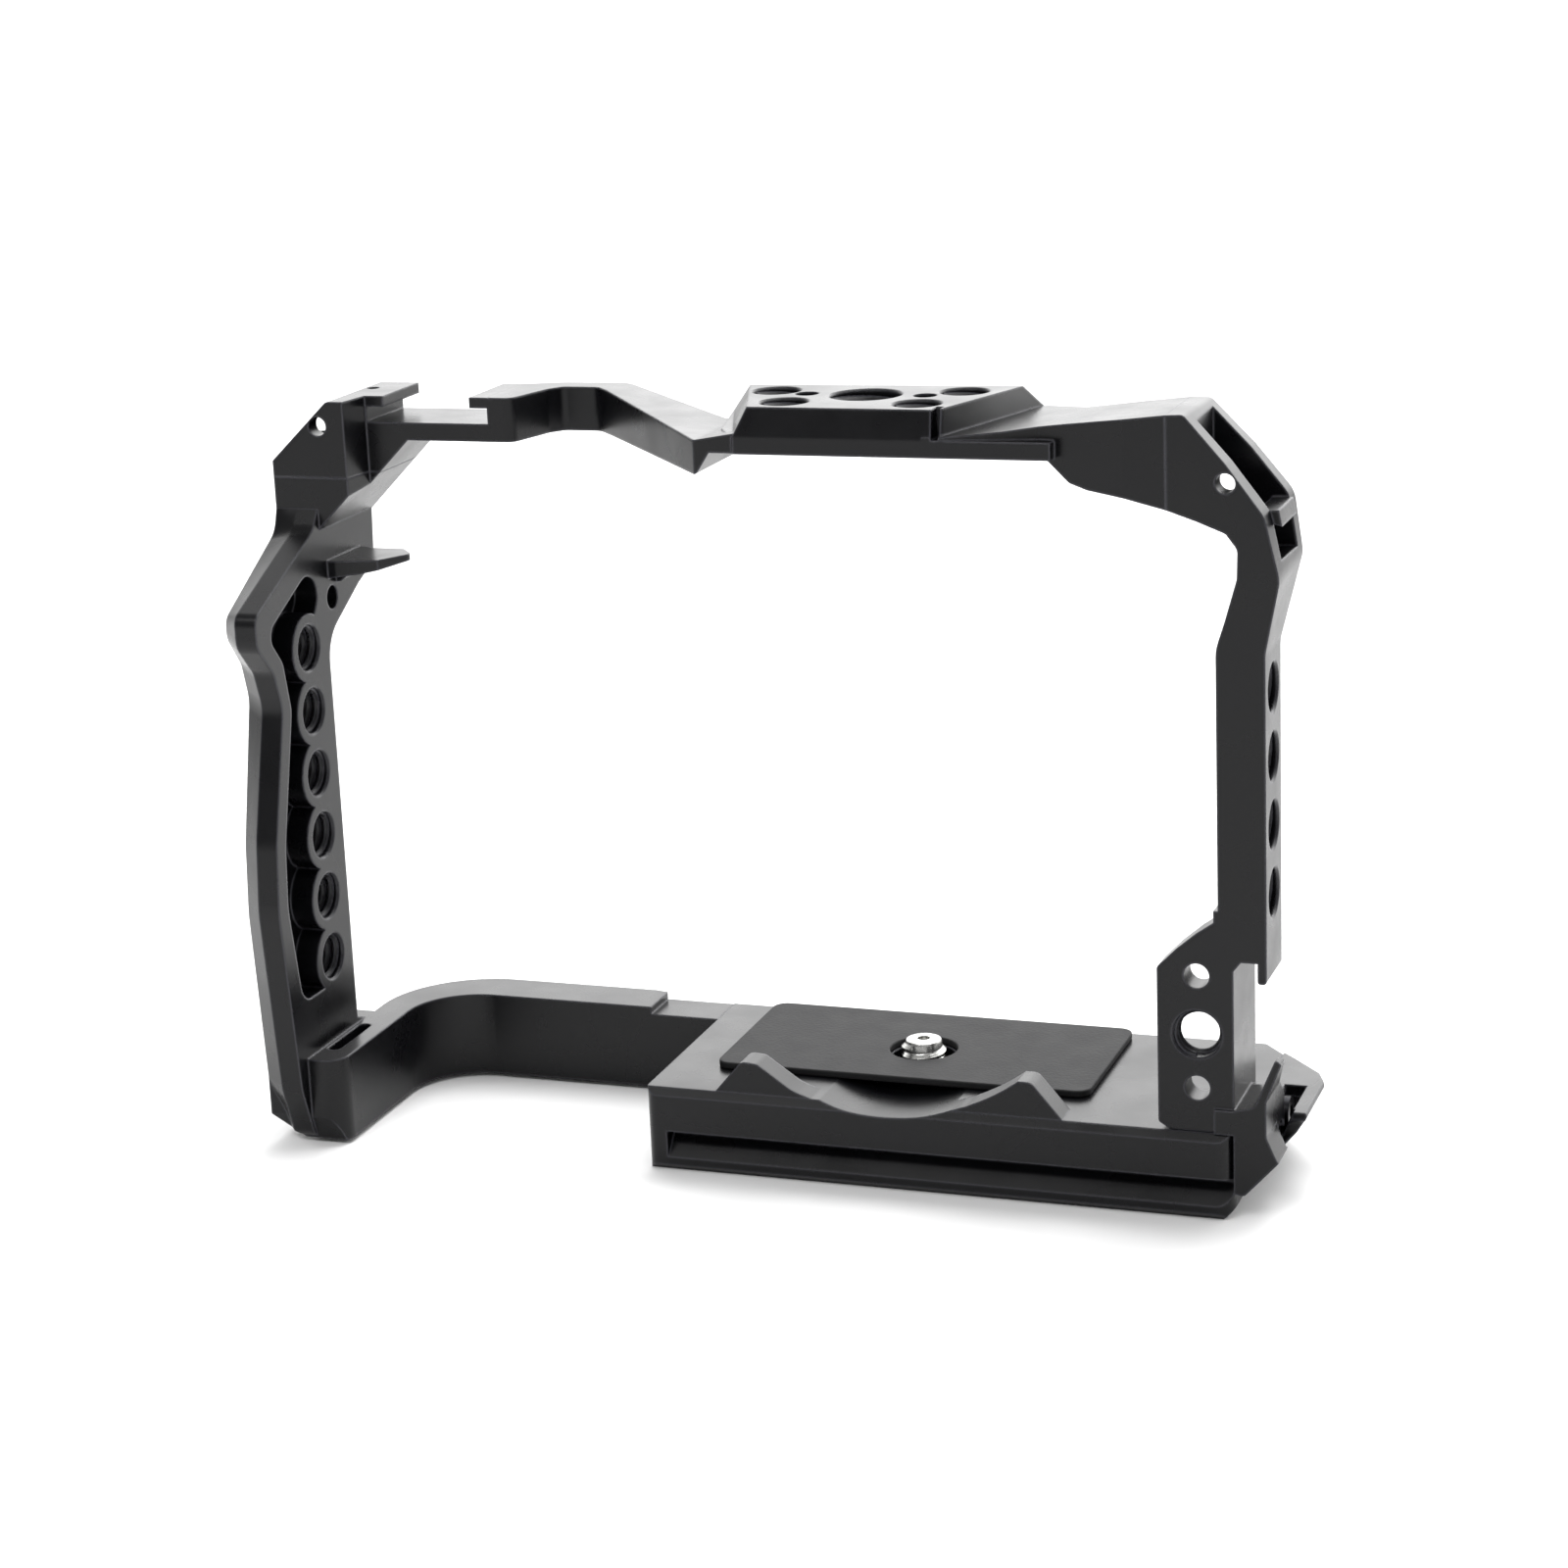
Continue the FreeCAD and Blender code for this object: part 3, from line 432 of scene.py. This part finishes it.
def nylon(name, dark_hex, light_hex):
    """Punched nylon sheet: a soft plastic sheen with faint mottling of 0.4 mm."""
    mottles_per_metre = 2500.0
    material, tree = new_material(name)
    place = add_node(tree, "ShaderNodeTexCoord")
    mottle = add_node(tree, "ShaderNodeTexNoise", {"Scale": mottles_per_metre, "Detail": 2.0},
                      {"Vector": place.outputs["Object"]})
    colour = add_node(tree, "ShaderNodeValToRGB", {"color_ramp": ((0.3, dark_hex), (0.7, light_hex))},
                      {"Fac": mottle.outputs["Fac"]})
    rough = add_node(tree, "ShaderNodeMapRange", {"To Min": 0.42, "To Max": 0.55},
                     {"Value": mottle.outputs["Fac"]})
    bump = add_node(tree, "ShaderNodeBump", {"Strength": 0.1, "Distance": 0.00002},
                    {"Height": mottle.outputs["Fac"]})
    shader = add_node(tree, "ShaderNodeBsdfPrincipled", {"IOR": 1.53},
                      {"Base Color": colour.outputs["Color"], "Roughness": rough.outputs["Result"],
                       "Normal": bump.outputs["Normal"]})
    add_node(tree, "ShaderNodeOutputMaterial", links={"Surface": shader.outputs["BSDF"]})
    return material


dress(frame["nodes"]["screw_washer"], nylon("black_nylon", "#17171A", "#1F1F22"))


# Joint screws: eight M2.5 socket head screws of hardened steel, blackened. They pull the top bar to
# both arms, and both arms to the base plate, two to a joint.

def black_oxide_steel(name, dark_hex, light_hex):
    """Blackened steel: dark metal with an oily sheen, patchy over about 1 mm."""
    patches_per_metre = 1000.0
    corner_radius = 0.0001
    material, tree = new_material(name)
    place = add_node(tree, "ShaderNodeTexCoord")
    patch = add_node(tree, "ShaderNodeTexNoise", {"Scale": patches_per_metre, "Detail": 3.0},
                     {"Vector": place.outputs["Object"]})
    corner = add_node(tree, "ShaderNodeBevel", {"samples": 6, "Radius": corner_radius})
    colour = add_node(tree, "ShaderNodeValToRGB", {"color_ramp": ((0.3, dark_hex), (0.75, light_hex))},
                      {"Fac": patch.outputs["Fac"]})
    rough = add_node(tree, "ShaderNodeMapRange", {"To Min": 0.26, "To Max": 0.42},
                     {"Value": patch.outputs["Fac"]})
    bump = add_node(tree, "ShaderNodeBump", {"Strength": 0.1, "Distance": 0.00001},
                    {"Height": patch.outputs["Fac"], "Normal": corner.outputs["Normal"]})
    shader = add_node(tree, "ShaderNodeBsdfPrincipled", {"Metallic": 0.9},
                      {"Base Color": colour.outputs["Color"], "Roughness": rough.outputs["Result"],
                       "Normal": bump.outputs["Normal"]})
    add_node(tree, "ShaderNodeOutputMaterial", links={"Surface": shader.outputs["BSDF"]})
    return material


def cap_screw(name, shank_length):
    """One M2.5 socket head screw along Z, its head's underside at 0 and its shank below."""
    cap_r = 0.00225
    cap_h = 0.0025
    socket_r = 0.00115
    socket_depth = 0.0013
    core_r = 0.00105
    crest_r = 0.00124
    root_r = 0.00103
    pitch = 0.00045
    plain_length = 0.0006  # between the head and the start of the thread
    overlap = 0.00001  # the shank reaches this far into the head, so that no slit shows
    rim = 0.0002
    cap = turned(name, cap_r, 0, cap_h, sides=40)
    bevel_rim(cap, cap_r, cap_h, rim, segments=3)
    cut_with(cap, turned("hex_key_socket", socket_r, cap_h - socket_depth, cap_h + overshoot, sides=6))
    shank = turned("shank", core_r, -shank_length, overlap, sides=24)
    bevel_rim(shank, core_r, -shank_length, rim)
    ridge = thread_ridge("shank_thread", root_r, crest_r, pitch, -shank_length + rim, -plain_length,
                         steps_per_turn=14)
    screw_piece = join_pieces(name, [cap, shank, ridge])
    pick(screw_piece)
    bpy.ops.object.shade_smooth_by_angle(angle=math.radians(28))
    return screw_piece


def copy_to(piece, name, place, direction):
    """A copy with its own mesh, its Z along the direction and its zero point at the place."""
    copy = piece.copy()
    copy.data = piece.data.copy()
    copy.name = name
    bpy.context.collection.objects.link(copy)
    set_in_place(copy, place, direction)
    return copy


blackened = black_oxide_steel("black_oxide_steel", "#1C1C1E", "#2C2C2F")
joint_screws = {
    "rail_screws": {"length": 0.0062, "head_towards": (0, 0, -1),
                    "undersides": [(-0.0294, 0.01035, 0.0034), (-0.0212, 0.01035, 0.0034)]},
    "foot_screws": {"length": 0.0110, "head_towards": (1, 0, 0),
                    "undersides": [(0.0504, -0.0118, 0.0088), (0.0504, -0.0022, 0.0088)]},
    "left_seam_screws": {"length": 0.0080, "head_towards": (0, 0, 1),
                         "undersides": [(-0.08765, -0.0033, 0.0964), (-0.08765, 0.0022, 0.0964)]},
    "right_seam_screws": {"length": 0.0080, "head_towards": (1, 0, 0),
                          "undersides": [(0.0428, -0.0150, 0.1015), (0.0428, -0.0110, 0.0987)]},
}
for node_name, joint in joint_screws.items():
    pattern = cap_screw("pattern_screw", joint["length"])
    copies = [copy_to(pattern, node_name + "_part", place, joint["head_towards"])
              for place in joint["undersides"]]
    bpy.data.objects.remove(pattern, do_unlink=True)
    pair = join_pieces(node_name + "_threaded", copies)
    finish_piece(pair, blackened, "cage", "black_steel", node_name)


# Dowels: four ground steel pins that line the joints up, one to a joint, each pressed half into
# each piece. They are bright and smooth, and out of sight.

ground_steel = turned_steel("ground_steel", "#A9A9A8", "#C4C4C2", roughness=0.2)
for node_name in ("rail_dowel", "foot_dowel", "left_seam_dowel", "right_seam_dowel"):
    dress(frame["nodes"][node_name], ground_steel)


# Floor: a sheet of white paper that the cage stands on, matt and faintly mottled over 17 mm. It is
# so wide that its edge doesn't show.

floor_width = 30.0
mottles_per_metre = 60.0
clear_selection()
bpy.ops.mesh.primitive_plane_add(size=floor_width, location=(0, 0, 0))
floor = bpy.context.object
floor.name = "paper_sweep"
paper, paper_tree = new_material("white_paper")
paper_place = add_node(paper_tree, "ShaderNodeTexCoord")
paper_mottle = add_node(paper_tree, "ShaderNodeTexNoise", {"Scale": mottles_per_metre},
                        {"Vector": paper_place.outputs["Object"]})
paper_colour = add_node(paper_tree, "ShaderNodeValToRGB",
                        {"color_ramp": ((0.3, "#F7F7F7"), (0.7, "#FBFBFB"))},
                        {"Fac": paper_mottle.outputs["Fac"]})
paper_shader = add_node(paper_tree, "ShaderNodeBsdfPrincipled",
                        {"Roughness": 0.9, "Specular IOR Level": 0.2},
                        {"Base Color": paper_colour.outputs["Color"]})
add_node(paper_tree, "ShaderNodeOutputMaterial", links={"Surface": paper_shader.outputs["BSDF"]})
dress(floor, paper)


# Light: a white tent, brightest behind the cage and to its right, and dim on the lens side and low
# down, so that faces towards the camera stay near black. Two soft lamps hang above, a wide one
# behind and a narrow one in front.

bpy.context.scene.view_settings.view_transform = "Standard"
world = bpy.data.worlds.new("studio_tent")
bpy.context.scene.world = world
world.use_nodes = True
tent = world.node_tree
tent.nodes.clear()
outward = add_node(tent, "ShaderNodeTexCoord")
towards = add_node(tent, "ShaderNodeSeparateXYZ", links={"Vector": outward.outputs["Generated"]})
behind = add_node(tent, "ShaderNodeMapRange",
                  {"From Min": 0.2, "From Max": 0.95, "To Min": 0.5, "To Max": 4.6},
                  {"Value": towards.outputs["Y"]})
to_right = add_node(tent, "ShaderNodeMapRange",
                    {"From Min": -0.9, "From Max": 0.9, "To Min": 0.7, "To Max": 1.35},
                    {"Value": towards.outputs["X"]})
off_horizon = add_node(tent, "ShaderNodeMapRange",
                       {"From Min": 0.05, "From Max": 0.3, "To Min": 0.4, "To Max": 1.0},
                       {"Value": towards.outputs["Z"]})
sides = add_node(tent, "ShaderNodeMath", {"operation": "MULTIPLY"},
                 {0: behind.outputs["Result"], 1: to_right.outputs["Result"]})
strength = add_node(tent, "ShaderNodeMath", {"operation": "MULTIPLY"},
                    {0: sides.outputs["Value"], 1: off_horizon.outputs["Result"]})
glow = add_node(tent, "ShaderNodeBackground", {"Color": (1.0, 1.0, 1.0, 1.0)},
                {"Strength": strength.outputs["Value"]})
add_node(tent, "ShaderNodeOutputWorld", links={"Surface": glow.outputs["Background"]})


def soft_light(name, place, aim, size, watts):
    """A rectangular soft lamp at a place, aimed at a point."""
    lamp = bpy.data.lights.new(name, "AREA")
    lamp.shape = "RECTANGLE"
    lamp.size, lamp.size_y = size
    lamp.energy = watts
    holder = bpy.data.objects.new(name, lamp)
    bpy.context.collection.objects.link(holder)
    holder.location = place
    holder.rotation_euler = (Vector(aim) - Vector(place)).to_track_quat("-Z", "Y").to_euler()


cage_middle = (0, 0, 0.05)
soft_light("top_softbox", place=(0.1, 0.35, 1.2), aim=cage_middle, size=(1.0, 0.8), watts=10)
soft_light("front_strip", place=(-0.25, -0.8, 1.0), aim=cage_middle, size=(0.8, 0.2), watts=5)


# Camera: at the photograph's angle and with its lens, which the vanishing lines gave, about half a
# metre away. It stands in front and to the right, looks down a little and is rolled slightly.

frame_pixels = 1600
focal_pixels = 3610
rise_pixels = 6
sensor_width = 36.0
camera_data = bpy.data.cameras.new("photo_camera")
camera_data.sensor_width = sensor_width
camera_data.lens = focal_pixels / frame_pixels * sensor_width
camera_data.shift_y = rise_pixels / frame_pixels
camera_data.clip_start = 0.01
camera_data.clip_end = 30.0
camera = bpy.data.objects.new("photo_camera", camera_data)
bpy.context.collection.objects.link(camera)
eye_x, eye_y, eye_z = (0.14419, -0.44939, 0.18243)
turn, tilt, roll = (math.radians(angle) for angle in (20.0, 15.5, -2.43))
ahead = Vector((-math.sin(turn) * math.cos(tilt), math.cos(turn) * math.cos(tilt), -math.sin(tilt)))
level = Vector((math.cos(turn), math.sin(turn), 0.0))
upward = level.cross(ahead)
right = math.cos(roll) * level + math.sin(roll) * upward
above = -math.sin(roll) * level + math.cos(roll) * upward
camera.matrix_world = Matrix((
    (right.x, above.x, -ahead.x, eye_x),
    (right.y, above.y, -ahead.y, eye_y),
    (right.z, above.z, -ahead.z, eye_z),
    (0.0, 0.0, 0.0, 1.0)))
bpy.context.scene.camera = camera
